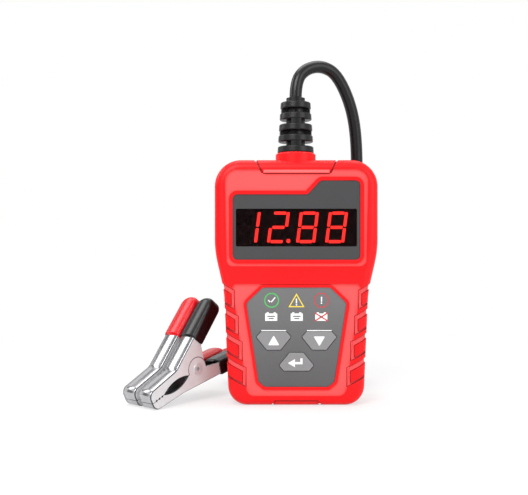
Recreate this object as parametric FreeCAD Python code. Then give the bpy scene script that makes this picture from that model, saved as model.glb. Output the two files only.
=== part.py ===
import FreeCAD, Part
import os
from math import cos, pi, radians, sin, tan

Vector = FreeCAD.Vector
Rotation = FreeCAD.Rotation
Placement = FreeCAD.Placement

# Handheld battery tester with a cable and two crocodile clips, in millimetres.
# +X is to the right of the keypad, +Y goes to the back, +Z is up. The tester stands on its lower edge.

# Case
head_width = 80.0
waist_width = 70.8
foot_width = 66.0
case_height = 120.0
case_depth = 25.0
waist_height = 55.5
shoulder_height = 75.5
head_radius = 13.0
side_radius = 50.0
foot_radius = 9.5
front_round = 4.5
back_round = 4.0
side_wall = 2.2
front_wall = 3.4
rear_wall = 2.2
parting_depth = 14.0
seam_width = 0.5
seam_depth = 0.4

# Recessed panels on the front, and the lips round the display and the keypad
panel_recess = 1.2
lip_height = 0.7
display_lip = 1.9
keypad_lip = 1.5
panel_margin = 4.7
panel_height = 47.3
panel_top = case_height - panel_margin
panel_bottom = panel_top - panel_height
panel_half_width = 35.0
panel_radius = 6.0
waist_band = 8.6
lower_panel_top = panel_bottom - waist_band
lower_panel_bottom = 4.8
lower_panel_half_top = 31.5
lower_panel_half_foot = 24.0
tab_half_top = 20.0
tab_half_low = 16.0
tab_height = 6.6
tab_bottom = case_height - tab_height
tab_groove = 1.1
foot_tab_half = 11.6
foot_tab_height = 2.5
groove_depth = 0.6

# Grip channels on both lower sides
grip_count = 4
grip_first = 11.8
grip_pitch = 12.2
grip_height = 9.2
grip_channel = 1.7
grip_reach = 9.0
grip_slope = 28.0

# Cable boss and strain relief
lead_axis_y = -1.5
boss_radius = 10.0
boss_rise = 4.0
relief_neck = 6.0
relief_flange = 7.3
relief_flange_height = 2.8
relief_base = 9.1
relief_tip = 7.3
relief_core = 4.7
relief_rings = 5
relief_ring = 3.3
relief_slot = 2.2
relief_web = 5.0

# Display
lens_half_width = 31.0
lens_margin_low = 3.2
lens_margin_top = 5.6
lens_step = 6.8
lens_bottom = panel_bottom + lens_margin_low
lens_top_right = panel_top - lens_margin_top
lens_top_left = lens_top_right - lens_step
lens_step_left = 5.4
lens_step_right = 11.8
lens_radius = 2.2
lens_thick = 1.2
film_thick = 0.3
lens_sink = 0.4
window_half_width = 29.5
window_margin = 6.9
window_height = 18.4
window_top = lens_top_left - window_margin
window_bottom = window_top - window_height
module_depth = 8.0
digit_pitch = 14.5
digit_first = -23.2
digit_width = 10.2
digit_height = 15.6
digit_lean = 8.0
segment_width = 2.0
segment_gap = 0.35
segment_thick = 0.25
lit_digits = ("bc", "abged", "abcdefg", "abcdefg")
point_after = 1
point_radius = 1.1

# Keypad
keypad_margin = 1.8
keypad_taper = 7.6
keypad_top = lower_panel_top - keypad_margin
keypad_shoulder = keypad_top - keypad_taper
keypad_low = 11.9
keypad_bottom = 9.3
keypad_half_top = 16.5
keypad_half_shoulder = 24.4
keypad_half_low = 18.5
keypad_half_bottom = 15.5
overlay_thick = 1.0
overlay_sink = 0.4
key_half_long = 6.1
key_half_wide = 8.5
key_half_short = 3.4
key_height = 8.9
key_shoulder = 2.6
key_proud = 0.6
key_round = 0.4
key_travel = 0.5
key_flange = 1.0
key_post_radius = 1.8
key_spread = 11.1
key_row_z = 31.7
enter_z = 21.5
lamp_spread = 12.2
lamp_drop = 6.2
lamp_z = keypad_top - lamp_drop
lamp_hole = 2.4

# Circuit board and what it carries
board_thick = 1.6
board_margin = 17.5
board_top = case_height - board_margin
board_bottom = 17.0
board_half_head = 35.0
board_half_foot = 21.0
board_neck_drop = 3.0
board_neck_height = 8.0
board_neck_high = panel_bottom - board_neck_drop
board_neck_low = board_neck_high - board_neck_height
board_post_radius = 2.6
board_post_inset = 3.2
board_post_rise = 3.5
board_post_head = (32.0, panel_bottom + board_post_rise)
board_post_high = (32.0, board_top - board_post_inset)
board_post_foot = (16.5, 20.2)
board_screw_radius = 0.9
board_screw_head = 1.9
switch_side = 6.0
switch_height = 3.5
plunger_radius = 1.7
plunger_rise = 1.4
header_size = (10.0, 7.5, 8.0)
header_drop = 6.0
header_z = board_top - header_drop
chip_side = 10.0
chip_height = 1.4
resistor_size = (22.0, 7.0, 7.0)
resistor_drop = 32.5
resistor_pitch = 10.0
resistor_z = (board_top - resistor_drop, board_top - resistor_drop + resistor_pitch)
capacitor_radius = 4.0
capacitor_length = 9.0
wire_radius = 1.1
wire_spread = 2.2

# Case screws
screw_head_x = 31.0
screw_head_drop = 11.0
screw_head_z = case_height - screw_head_drop
screw_foot_x = 25.0
screw_foot_z = 11.0
screw_radius = 1.25
screw_head_radius = 2.8
screw_head_height = 2.0
screw_post = 4.2
screw_sink = 5.0

# Clips: along X from the jaw tip, Z across the jaws
clip_width = 10.0
sheet = 0.8
jaw_gap = 0.3
jaw_length = 19.5
jaw_depth = 6.3
nose_depth_upper = 5.2
nose_depth_lower = 4.4
nose_round = 3.6
arm_bend_round = 5.0
pivot_x = 31.5
upper_bend = 28.0
lower_bend = 11.0
handle_run = 38.5
handle_depth = 6.2
upper_sleeve_start = 18.5
lower_sleeve_start = 25.0
sleeve_wall = 0.8
sleeve_end = 4.0
sleeve_round = 1.9
ear_radius = 5.6
ear_clearance = 0.4
ear_gap = 0.15
rivet_radius = 1.6
rivet_head = 2.6
rivet_head_height = 0.6
rivet_dimple = 1.0
rivet_clearance = 0.08
leaf_start = 7.6
leaf_half = 2.5
tooth_count = 3
tooth_pitch = 1.9
tooth_half = 0.7
spring_wire = 1.0
spring_radius = 3.2
spring_pitch = 1.45
spring_turns = 3
spring_leg = 17.5
upper_leg_rise = 22.5
lower_leg_rise = 13.0
lug_length = 8.0
lug_wall = 0.6

# Where the clips lie: direction from the jaws to the handles, rise of the jaw line, nose of the black clip
clip_direction = 47.0
clip_tilt = 25.5
clip_nose = (-72.0, -20.0)
clip_pitch = 12.0
floor_gap = 0.05

# Cable, coil, split and leads
cable_diameter = 6.2
coil_radius = 36.0
coil_pitch = 6.7
coil_turns = 3.5
coil_centre = (-13.0, 56.0)
lead_diameter = 3.4
split_length = 20.0
split_width = 12.0
split_height = 8.0
tie_width = 6.0
tie_thick = 0.8
tie_angle = 120.0
tie_gap = 0.5

# Fits
slide_gap = 0.25
seat_gap = 0.1
press_gap = 0.03

front_y = -case_depth / 2
back_y = case_depth / 2
parting_y = front_y + parting_depth
inner_front_y = front_y + front_wall
inner_back_y = back_y - rear_wall
panel_y = front_y + panel_recess
lip_y = panel_y - lip_height
film_y = lip_y + lens_sink
lens_y = film_y + film_thick
ledge_y = lens_y + lens_thick
overlay_y = lip_y + overlay_sink
overlay_back_y = overlay_y + overlay_thick
module_y = ledge_y + 2 * segment_thick
board_y = module_y + module_depth
board_back_y = board_y + board_thick
relief_top = case_height + boss_rise + relief_rings * (relief_ring + relief_slot)
cable_radius = cable_diameter / 2
lead_radius = lead_diameter / 2
clip_half = clip_width / 2
sleeve_half = clip_half + sleeve_wall


def rounded_wire(corners, y=0.0):
    """Closed outline in a plane of constant Y, from corners (x, z, radius). Two corners share the run between them."""
    points = [Vector(x, y, z) for x, z, radius in corners]
    count = len(points)
    runs = [points[(index + 1) % count] - points[index] for index in range(count)]
    halves = [(-runs[index - 1]).getAngle(runs[index]) / 2 for index in range(count)]
    wanted = [corners[index][2] / tan(halves[index]) for index in range(count)]
    entries = []
    exits = []
    edges = []
    for index, corner in enumerate(points):
        reach = wanted[index]
        for run, other in ((runs[index - 1], index - 1), (runs[index], (index + 1) % count)):
            asked = wanted[index] + wanted[other]
            if asked > run.Length:
                reach = min(reach, wanted[index] * run.Length / asked)
        back = (-runs[index - 1]).normalize()
        ahead = Vector(runs[index]).normalize()
        half = halves[index]
        radius = reach * tan(half)
        entries.append(corner + back * reach)
        exits.append(corner + ahead * reach)
        if radius > 0:
            middle = corner + (back + ahead).normalize() * (radius / sin(half) - radius)
            edges.append(Part.Arc(entries[-1], middle, exits[-1]).toShape())
    for index in range(count):
        after = entries[(index + 1) % count]
        if (after - exits[index]).Length > 1e-6:
            edges.append(Part.LineSegment(exits[index], after).toShape())
    return Part.Wire(Part.__sortEdges__(edges))


def plate(corners, y_from, y_to, grow=0.0):
    """Flat piece between two planes of constant Y, its outline grown or shrunk."""
    face = Part.Face(rounded_wire(corners, y_from))
    if grow:
        face = Part.Face(face.OuterWire.makeOffset2D(grow))
    return face.extrude(Vector(0, y_to - y_from, 0))


def mirrored(half):
    """Outline that is the same on both sides of X = 0, from its right half, bottom to top."""
    return half + [(-x, z, radius) for x, z, radius in reversed(half)]


def rod(radius, start, end):
    axis = end - start
    return Part.makeCylinder(radius, axis.Length, start, axis)


def block(x_range, y_range, z_range):
    size = (x_range[1] - x_range[0], y_range[1] - y_range[0], z_range[1] - z_range[0])
    return Part.makeBox(*size, Vector(x_range[0], y_range[0], z_range[0]))


def rim_edges(solid, y):
    """Edges that lie in a plane of constant Y."""
    return [
        edge for edge in solid.Edges
        if abs(edge.BoundBox.YMin - y) < 1e-4 and abs(edge.BoundBox.YMax - y) < 1e-4
    ]


def fuse(solids):
    return solids[0].multiFuse(solids[1:]).removeSplitter()


case_outline = mirrored([
    (foot_width / 2, 0.0, foot_radius),
    (waist_width / 2, waist_height, side_radius),
    (head_width / 2, shoulder_height, side_radius),
    (head_width / 2, case_height, head_radius),
])
upper_panel = mirrored([
    (panel_half_width - 1.0, panel_bottom, 3.0),
    (panel_half_width, panel_top, panel_radius),
    (tab_half_low + 1.2, panel_top, 0.6),
    (tab_half_low, tab_bottom, 0.8),
])
lower_panel = mirrored([
    (lower_panel_half_foot, lower_panel_bottom, 4.0),
    (lower_panel_half_top, lower_panel_top, 2.0),
])
lens_outline = [
    (-lens_half_width, lens_bottom, lens_radius),
    (lens_half_width, lens_bottom, lens_radius),
    (lens_half_width, lens_top_right, lens_radius),
    (lens_step_right, lens_top_right, lens_radius),
    (lens_step_left, lens_top_left, lens_radius),
    (-lens_half_width, lens_top_left, lens_radius),
]
window_outline = [
    (-window_half_width, window_bottom, 0.8),
    (window_half_width, window_bottom, 0.8),
    (window_half_width, window_top, 0.8),
    (-window_half_width, window_top, 0.8),
]
keypad_outline = mirrored([
    (keypad_half_bottom, keypad_bottom, 1.5),
    (keypad_half_low, keypad_low, 1.5),
    (keypad_half_shoulder, keypad_shoulder, 2.5),
    (keypad_half_top, keypad_top, 2.5),
])


def key_outline(x, z, way):
    """Hexagonal key; way is 1 with the long edge on top and -1 with it below."""
    half = [
        (key_half_long, key_height / 2),
        (key_half_wide, key_height / 2 - key_shoulder),
        (key_half_short, -key_height / 2),
    ]
    corners = [(x + dx, z + way * dz, 0.7) for dx, dz in half]
    return corners + [(x - dx, z + way * dz, 0.7) for dx, dz in reversed(half)]


key_outlines = {
    "up": key_outline(-key_spread, key_row_z, 1),
    "down": key_outline(key_spread, key_row_z, 1),
    "enter": key_outline(0.0, enter_z, -1),
}
key_centres = {"up": (-key_spread, key_row_z), "down": (key_spread, key_row_z), "enter": (0.0, enter_z)}
lamp_centres = [(-lamp_spread, lamp_z), (0.0, lamp_z), (lamp_spread, lamp_z)]
screw_places = [(side * x, z) for side in (-1, 1)
                for x, z in ((screw_head_x, screw_head_z), (screw_foot_x, screw_foot_z))]
board_posts = [(side * x, z) for side in (-1, 1)
               for x, z in (board_post_head, board_post_high, board_post_foot)]


def case_block(inset):
    """Whole case as one rounded block, or the same shape a little inside its surface."""
    solid = plate(case_outline, front_y + inset, back_y - inset, -inset)
    solid = solid.makeFillet(front_round - inset, rim_edges(solid, front_y + inset))
    return solid.makeFillet(back_round - inset, rim_edges(solid, back_y - inset))


def grip_channels():
    """U-shaped channels that open at the case's edge, on both sides."""
    tools = []
    for side in (-1, 1):
        for index in range(grip_count):
            low = grip_first + index * grip_pitch
            edge = foot_width / 2 + (waist_width - foot_width) / 2 * low / waist_height
            inner = edge - grip_reach + (grip_reach - 5.0) * index / (grip_count - 1)
            outer = edge + 4.0
            rise = (outer - inner) * tan(radians(grip_slope))
            island = inner + grip_channel
            island_rise = (outer - island) * tan(radians(grip_slope))
            bottom = low + grip_channel
            top = low + grip_height - grip_channel
            whole = [(inner, low, 0.8), (outer, low + rise, 0), (outer, low + grip_height + rise, 0),
                     (inner, low + grip_height, 0.8)]
            core = [(island, bottom, 0.4), (outer + 1, bottom + island_rise, 0),
                    (outer + 1, top + island_rise, 0), (island, top, 0.4)]
            lower = rise * (edge - inner) / (outer - inner) * 0.5
            ring = plate([(side * x, z - lower, r) for x, z, r in whole], front_y - 1, parting_y - 1)
            ring = ring.cut(plate([(side * x, z - lower, r) for x, z, r in core], front_y - 2, parting_y))
            tools.append(ring)
    return Part.makeCompound(tools)


def tab_grooves():
    """Grooves beside the tab on top and round the small tab at the foot."""
    tools = []
    for side in (-1, 1):
        corners = [
            (side * tab_half_low, tab_bottom, 0), (side * (tab_half_low + tab_groove), tab_bottom, 0),
            (side * (tab_half_top + tab_groove), case_height + 1, 0), (side * tab_half_top, case_height + 1, 0),
        ]
        tools.append(plate(corners, front_y - 1, parting_y - 1))
        foot = [
            (side * foot_tab_half, -1, 0), (side * (foot_tab_half + tab_groove), -1, 0),
            (side * (foot_tab_half - 0.6), foot_tab_height, 0),
            (side * (foot_tab_half - 0.6 - tab_groove), foot_tab_height, 0),
        ]
        tools.append(plate(foot, front_y - 1, parting_y - 1))
    return Part.makeCompound(tools)


def case_shells():
    """Front and rear shells with their posts, panels and openings."""
    outer = case_block(0.0)
    skin = outer.cut(case_block(groove_depth))
    grooves = skin.common(Part.makeCompound([grip_channels(), tab_grooves()]))
    boss = Part.makeCylinder(boss_radius, 10.0, Vector(0, lead_axis_y, case_height + boss_rise - 10.0))
    boss = boss.makeChamfer(0.8, [edge for edge in boss.Edges if edge.BoundBox.ZMin > case_height])
    seam = plate(case_outline, parting_y - seam_width / 2, parting_y + seam_width / 2)
    seam = seam.cut(plate(case_outline, parting_y - seam_width, parting_y + seam_width, -seam_depth))
    cavity = plate(case_outline, inner_front_y, inner_back_y, -side_wall)
    bore = Part.makeCylinder(relief_neck + press_gap, 20.0, Vector(0, lead_axis_y, case_height - 8.0))
    whole = outer.fuse(boss).cut(Part.makeCompound([seam, cavity, bore, grooves]))
    wide = 2 * head_width
    front_half = block((-wide, wide), (front_y - wide, parting_y), (-wide, wide))
    front = whole.common(front_half)
    rear = whole.cut(front_half)

    cuts = [
        plate(upper_panel, front_y - 1, panel_y).cut(plate(lens_outline, front_y - 2, panel_y + 1, display_lip)),
        plate(lower_panel, front_y - 1, panel_y).cut(plate(keypad_outline, front_y - 2, panel_y + 1, keypad_lip)),
        plate(lens_outline, front_y - 1, lip_y, display_lip),
        plate(keypad_outline, front_y - 1, lip_y, keypad_lip),
        plate(lens_outline, front_y - 1, ledge_y, seat_gap),
        plate(window_outline, front_y - 1, inner_front_y + 1, seat_gap),
        plate(keypad_outline, front_y - 1, overlay_back_y, seat_gap),
    ]
    cuts += [plate(outline, front_y, inner_front_y + 1, slide_gap) for outline in key_outlines.values()]
    cuts += [rod(lamp_hole, Vector(x, front_y, z), Vector(x, inner_front_y + 1, z)) for x, z in lamp_centres]
    front = front.cut(Part.makeCompound(cuts))
    posts = []
    pilots = []
    for x, z in screw_places:
        posts.append(rod(screw_post, Vector(x, inner_front_y, z), Vector(x, parting_y, z)))
        pilots.append(rod(screw_radius + press_gap, Vector(x, inner_front_y + 1, z), Vector(x, parting_y + 1, z)))
    for x, z in board_posts:
        posts.append(rod(board_post_radius, Vector(x, inner_front_y, z), Vector(x, board_y, z)))
        pilots.append(rod(board_screw_radius + press_gap, Vector(x, inner_front_y + 1, z), Vector(x, board_y + 1, z)))
    front = fuse([front] + posts).cut(Part.makeCompound(pilots))

    posts = []
    holes = []
    for x, z in screw_places:
        posts.append(rod(screw_post, Vector(x, parting_y, z), Vector(x, inner_back_y, z)))
        holes.append(rod(screw_radius + slide_gap, Vector(x, parting_y - 1, z), Vector(x, back_y, z)))
        holes.append(rod(screw_head_radius + slide_gap, Vector(x, back_y - screw_sink, z), Vector(x, back_y + 1, z)))
    rear = fuse([rear] + posts).cut(Part.makeCompound(holes))
    return front, rear


def case_screws():
    screws = []
    for x, z in screw_places:
        seat = back_y - screw_sink
        head = rod(screw_head_radius, Vector(x, seat, z), Vector(x, seat + screw_head_height, z))
        head = head.makeFillet(0.8, rim_edges(head, seat + screw_head_height))
        slot = block((x - screw_head_radius, x + screw_head_radius), (seat + 1.1, seat + 3), (z - 0.4, z + 0.4))
        cross = block((x - 0.4, x + 0.4), (seat + 1.1, seat + 3), (z - screw_head_radius, z + screw_head_radius))
        recess = slot.fuse(cross).common(rod(1.6, Vector(x, seat, z), Vector(x, seat + 3, z)))
        stem = rod(screw_radius, Vector(x, inner_front_y + 1.5, z), Vector(x, seat, z))
        screws.append(head.fuse(stem).cut(recess))
    return Part.makeCompound(screws)


def display_pieces():
    lens = plate(lens_outline, lens_y, ledge_y)
    film = plate(lens_outline, film_y, lens_y).cut(plate(window_outline, film_y - 1, lens_y + 1))
    window = plate(window_outline, module_y, board_y, -seat_gap)
    return lens, film, window


def segment_shapes(letters, centre_x):
    """Slanted bars of one digit, as the letters a to g name them."""
    middle_z = (window_bottom + window_top) / 2
    half_w = (digit_width - segment_width) / 2
    half_h = (digit_height - segment_width) / 2
    across = half_w - segment_gap
    along = half_h / 2 - segment_gap
    level = {"a": half_h, "g": 0.0, "d": -half_h}
    upright = {"b": (half_w, half_h / 2), "c": (half_w, -half_h / 2),
               "e": (-half_w, -half_h / 2), "f": (-half_w, half_h / 2)}
    shapes = []
    half = segment_width / 2
    for letter in letters:
        if letter in level:
            z = level[letter]
            points = [(-across, z), (half - across, z + half), (across - half, z + half),
                      (across, z), (across - half, z - half), (half - across, z - half)]
        else:
            x, z = upright[letter]
            points = [(x, z - along), (x + half, z + half - along), (x + half, z + along - half),
                      (x, z + along), (x - half, z + along - half), (x - half, z + half - along)]
        corners = [(centre_x + px + pz * tan(radians(digit_lean)), middle_z + pz, 0) for px, pz in points]
        shapes.append(plate(corners, module_y - segment_thick, module_y))
    return shapes


def display_segments():
    lit = []
    dark = []
    for index, letters in enumerate(lit_digits):
        centre = digit_first + index * digit_pitch
        lit += segment_shapes(letters, centre)
        dark += segment_shapes([letter for letter in "abcdefg" if letter not in letters], centre)
        low = (window_bottom + window_top) / 2 - (digit_height - segment_width) / 2
        point = Vector(centre + digit_pitch / 2 - 0.6, module_y - segment_thick, low)
        dot = rod(point_radius, point, point + Vector(0, segment_thick, 0))
        (lit if index == point_after else dark).append(dot)
    return Part.makeCompound(lit), Part.makeCompound(dark)


def keypad_overlay():
    sheet_piece = plate(keypad_outline, overlay_y, overlay_back_y)
    holes = [plate(outline, overlay_y - 1, overlay_back_y + 1, slide_gap) for outline in key_outlines.values()]
    return sheet_piece.cut(Part.makeCompound(holes))


flange_y = inner_front_y + seat_gap
plunger_y = board_y - switch_height - plunger_rise


def key_piece(name):
    """Key cap, its retaining flange behind the front wall and the post that meets the switch."""
    x, z = key_centres[name]
    front = overlay_y - key_proud
    cap = plate(key_outlines[name], front, flange_y)
    cap = cap.makeFillet(key_round, rim_edges(cap, front))
    flange = plate(key_outlines[name], flange_y, flange_y + key_flange, key_flange)
    post = rod(key_post_radius, Vector(x, flange_y + key_flange, z), Vector(x, plunger_y, z))
    return fuse([cap, flange, post])


def switch_pieces():
    """Switch bodies with a hollow for the plunger, and one plunger for each key."""
    bodies = []
    plungers = {}
    half = switch_side / 2
    for name, (x, z) in key_centres.items():
        body = block((x - half, x + half), (board_y - switch_height, board_y), (z - half, z + half))
        hollow = rod(plunger_radius + 0.1, Vector(x, board_y - switch_height - 1, z), Vector(x, board_y - 1.0, z))
        bodies.append(body.cut(hollow))
        plungers[name] = rod(plunger_radius, Vector(x, plunger_y, z), Vector(x, board_y - 1.0 - 2 * key_travel, z))
    return Part.makeCompound(bodies), plungers


def main_board():
    outline = mirrored([
        (board_half_foot, board_bottom, 1.5), (board_half_foot, board_neck_low, 1.5),
        (board_half_head, board_neck_high, 1.5), (board_half_head, board_top, 1.5),
    ])
    board = plate(outline, board_y, board_back_y)
    holes = [rod(board_screw_radius + seat_gap, Vector(x, board_y - 1, z), Vector(x, board_back_y + 1, z))
             for x, z in board_posts]
    return board.cut(Part.makeCompound(holes))


def board_screws():
    screws = []
    for x, z in board_posts:
        stem = rod(board_screw_radius, Vector(x, inner_front_y + 2, z), Vector(x, board_back_y, z))
        head = rod(board_screw_head, Vector(x, board_back_y, z), Vector(x, board_back_y + 1.2, z))
        screws.append(stem.fuse(head))
    return Part.makeCompound(screws)


def lamp_leds():
    leds = []
    for x, z in lamp_centres:
        base = block((x - 1.6, x + 1.6), (board_y - 1.2, board_y), (z - 1.4, z + 1.4))
        dome = rod(1.1, Vector(x, board_y - 2.2, z), Vector(x, board_y - 1.2, z))
        leds.append(base.fuse(dome))
    return Part.makeCompound(leds)


def controller_chip():
    half = chip_side / 2
    middle = (board_neck_low + board_bottom) / 2
    return block((-half, half), (board_back_y, board_back_y + chip_height), (middle - half, middle + half))


def load_resistors():
    length, deep, high = resistor_size
    bars = []
    for z in resistor_z:
        bar = block((-length / 2, length / 2), (board_back_y, board_back_y + deep), (z - high / 2, z + high / 2))
        bars.append(bar.makeChamfer(0.7, rim_edges(bar, board_back_y + deep)))
    return Part.makeCompound(bars)


def capacitor():
    x = board_half_head - 2.2 * capacitor_radius
    z = (resistor_z[0] + resistor_z[1]) / 2
    end = board_back_y + capacitor_length
    can = rod(capacitor_radius, Vector(x, board_back_y, z), Vector(x, end, z))
    return can.makeFillet(0.7, rim_edges(can, end))


def wire_header():
    wide, deep, high = header_size
    body = block((-wide / 2, wide / 2), (board_back_y, board_back_y + deep), (header_z - high / 2, header_z + high / 2))
    top = header_z + high / 2
    y = board_back_y + deep / 2
    sockets = [rod(wire_radius + press_gap, Vector(side * wire_spread, y, top - 2.0), Vector(side * wire_spread, y, top + 1))
               for side in (-1, 1)]
    return body.cut(Part.makeCompound(sockets))


def route_tube(points, radius, label):
    """Round tube on straight runs joined by tangent arcs, each as large as its two runs allow."""
    edges = []
    start = points[0]
    length = 0.0
    radii = []
    for before, corner, after in zip(points, points[1:], points[2:]):
        back = before - corner
        ahead = after - corner
        reach = 0.45 * min(back.Length, ahead.Length)
        half_turn = (pi - back.getAngle(ahead)) / 2
        back.normalize()
        ahead.normalize()
        bend = reach / tan(half_turn)
        entry = corner + back * reach
        leave = corner + ahead * reach
        middle = corner + (back + ahead).normalize() * (bend / cos(half_turn) - bend)
        edges.append(Part.LineSegment(start, entry).toShape())
        edges.append(Part.Arc(entry, middle, leave).toShape())
        radii.append(round(bend, 1))
        start = leave
    edges.append(Part.LineSegment(start, points[-1]).toShape())
    path = Part.Wire(edges)
    ring = Part.Wire(Part.Circle(points[0], points[1] - points[0], radius).toShape())
    tube = path.makePipeShell([ring], True, False)
    length = path.Length
    share = tube.Volume / (pi * radius ** 2 * length)
    print(label, "radii", radii, "length", round(length, 1), "volume share", round(share, 4))
    return tube


def inner_wire(side):
    x = side * wire_spread
    socket_y = board_back_y + header_size[1] / 2
    top = header_z + header_size[2] / 2
    flange_low = case_height - side_wall - relief_flange_height - seat_gap
    points = [Vector(x, lead_axis_y, flange_low), Vector(x, lead_axis_y, flange_low - 3.5),
              Vector(x, socket_y, top + 3.5), Vector(x, socket_y, top - 2.0)]
    return route_tube(points, wire_radius, "inner wire")


def strain_relief():
    """Flange held between the shells, a neck, and ribs with slots that alternate by a quarter turn."""
    under = case_height - side_wall - seat_gap
    base = case_height + boss_rise
    pieces = [
        Part.makeCylinder(relief_flange, relief_flange_height, Vector(0, lead_axis_y, under - relief_flange_height)),
        Part.makeCylinder(relief_neck, base - under, Vector(0, lead_axis_y, under)),
        Part.makeCylinder(relief_core, relief_top - base, Vector(0, lead_axis_y, base)),
    ]
    step = relief_ring + relief_slot
    shrink = (relief_base - relief_tip) / (relief_rings * step)
    for index in range(relief_rings):
        low = base + index * step
        large = relief_base - shrink * index * step
        small = relief_base - shrink * (index * step + relief_ring)
        ring = Part.makeCone(large, small, relief_ring, Vector(0, lead_axis_y, low))
        pieces.append(ring.makeFillet(0.6, [e for e in ring.Edges if len(e.Vertexes) == 1]))
        reach = small - 0.5
        half = relief_web / 2
        spans = ((-reach, reach), (-half, half)) if index % 2 else ((-half, half), (-reach, reach))
        tall = (low + relief_ring - 0.7, low + step + (0.7 if index < relief_rings - 1 else 0.0))
        web = block(spans[0], (lead_axis_y + spans[1][0], lead_axis_y + spans[1][1]), tall)
        pieces.append(web.common(Part.makeCylinder(reach, 40.0, Vector(0, lead_axis_y, low))))
    return fuse(pieces)


def handle_point(bend, along, deep):
    """Point on a clip handle: along it from the bend, and deep below its outer face."""
    turn = radians(bend)
    return (jaw_length + along * cos(turn) + deep * sin(turn),
            jaw_depth + along * sin(turn) - deep * cos(turn))


def y_hole(x, z, radius):
    return rod(radius, Vector(x, -clip_width, z), Vector(x, clip_width, z))


def leaf_tool():
    """Leaf-shaped opening between the jaws, and the holes between their teeth."""
    end = pivot_x - ear_radius - ear_clearance
    middle = (leaf_start + end) / 2
    tips = Vector(leaf_start, -clip_width, 0), Vector(end, -clip_width, 0)
    upper = Part.Arc(tips[0], Vector(middle, -clip_width, leaf_half), tips[1]).toShape()
    lower = Part.Arc(tips[1], Vector(middle, -clip_width, -leaf_half), tips[0]).toShape()
    tools = [Part.Face(Part.Wire([upper, lower])).extrude(Vector(0, 2 * clip_width, 0))]
    for index in range(tooth_count):
        x = leaf_start - 1.0 - index * tooth_pitch
        diamond = [(x - tooth_half, 0, 0), (x, tooth_half, 0), (x + tooth_half, 0, 0), (x, -tooth_half, 0)]
        tools.append(plate(diamond, -clip_width, clip_width))
    return Part.makeCompound(tools)


def clip_arm(nose_depth, bend, sleeve_start, outer_ears):
    """Stamped channel of one arm, drawn as the upper one: a web, two side plates and two ears."""
    end = handle_point(bend, handle_run, 0)
    end_low = handle_point(bend, handle_run, handle_depth)
    gusset = handle_point(bend, sleeve_start, handle_depth)
    clear = ear_radius + ear_clearance
    low = jaw_gap / 2
    outline = [
        (0, low, 0), (0, nose_depth, nose_round), (jaw_length, jaw_depth, arm_bend_round), (*end, 0),
        (*end_low, 0), (*gusset, 0),
        (pivot_x + clear * cos(radians(20)), clear * sin(radians(20)), 0), (pivot_x, low, 0),
    ]
    inside_nose = handle_point(0, 0, sheet)
    inside_end = handle_point(bend, handle_run + 5, sheet)
    inside_bend = (jaw_length + sheet * tan(radians(bend / 2)), jaw_depth - sheet)
    hollow = [
        (sheet, -2 * jaw_depth, 0), (sheet, nose_depth - sheet, nose_round - sheet),
        (*inside_bend, arm_bend_round), (*inside_end, 0), (inside_end[0], -2 * jaw_depth, 0),
    ]
    solid = plate(outline, -clip_half, clip_half)
    long_edges = [
        edge for edge in solid.Edges
        if abs(abs(edge.CenterOfMass.y) - clip_half) < 1e-4 and edge.Length > 1.0
        and edge.CenterOfMass.z > min(nose_depth - 1.2, 3.4)
        and edge.distToShape(Part.Vertex(Vector(*[end_low[0], 0, end_low[1]])))[0] > clip_half + 0.2
        and edge.distToShape(Part.Vertex(Vector(gusset[0], 0, gusset[1])))[0] > clip_half + 0.2
    ]
    solid = solid.makeFillet(sheet, long_edges)
    solid = solid.cut(plate(hollow, sheet - clip_half, clip_half - sheet))
    if outer_ears:
        for side in (-1, 1):
            inner = Vector(pivot_x, side * (clip_half - sheet), 0)
            solid = solid.fuse(rod(ear_radius, inner, inner + Vector(0, side * sheet, 0)))
        solid = solid.cut(y_hole(pivot_x, 0, rivet_radius + press_gap))
    else:
        solid = solid.cut(y_hole(pivot_x, 0, clear))
        half = ear_radius - 0.8
        upright = [(pivot_x - half, 0, 0), (pivot_x + half, 0, 0), (pivot_x + half, 9.3, 0), (pivot_x - half, 7.6, 0)]
        for side in (-1, 1):
            outside = side * (clip_half - sheet - ear_gap)
            inside = outside - side * sheet
            ear = plate(upright, min(inside, outside), max(inside, outside))
            ear = ear.fuse(rod(half, Vector(pivot_x, inside, 0), Vector(pivot_x, outside, 0)))
            joggle = plate(upright, min(inside, side * (clip_half - sheet)), max(inside, side * (clip_half - sheet)))
            ear = ear.fuse(joggle.cut(y_hole(pivot_x, 0, clear + ear_clearance)))
            solid = solid.fuse(ear)
        solid = solid.cut(y_hole(pivot_x, 0, rivet_radius + rivet_clearance))
    return solid.cut(leaf_tool()).removeSplitter()


def handle_sleeve(bend, sleeve_start, lead_hole):
    """Soft sleeve over a handle, with a thumb-shaped end; drawn along X, then turned with the handle."""
    end = handle_run + sleeve_end
    outline = [(sleeve_start, -sleeve_half), (end, -sleeve_half), (end, sleeve_half), (sleeve_start, sleeve_half)]
    radii = (0.4, sleeve_half - 0.6, sleeve_half - 0.6, 0.4)
    corners = [(x, y, radius) for (x, y), radius in zip(outline, radii)]
    flat = plate(corners, 0, handle_depth + 2 * sleeve_wall)
    flat.rotate(Vector(0, 0, 0), Vector(1, 0, 0), -90)
    flat.translate(Vector(0, 0, sleeve_wall - flat.BoundBox.ZMax))
    rims = [edge for edge in flat.Edges
            if edge.BoundBox.ZLength < 1e-4 and edge.BoundBox.XMax > sleeve_start + 1.0]
    solid = flat.makeFillet(sleeve_round, rims)
    solid = solid.cut(block((sleeve_start - 1, handle_run + press_gap),
                            (-clip_half - press_gap, clip_half + press_gap),
                            (-handle_depth - press_gap, press_gap)))
    if lead_hole:
        depth = -handle_depth / 2
        solid = solid.cut(rod(lead_radius + press_gap, Vector(handle_run - 1, 0, depth), Vector(end + 1, 0, depth)))
    return on_handle(solid, bend)


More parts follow.
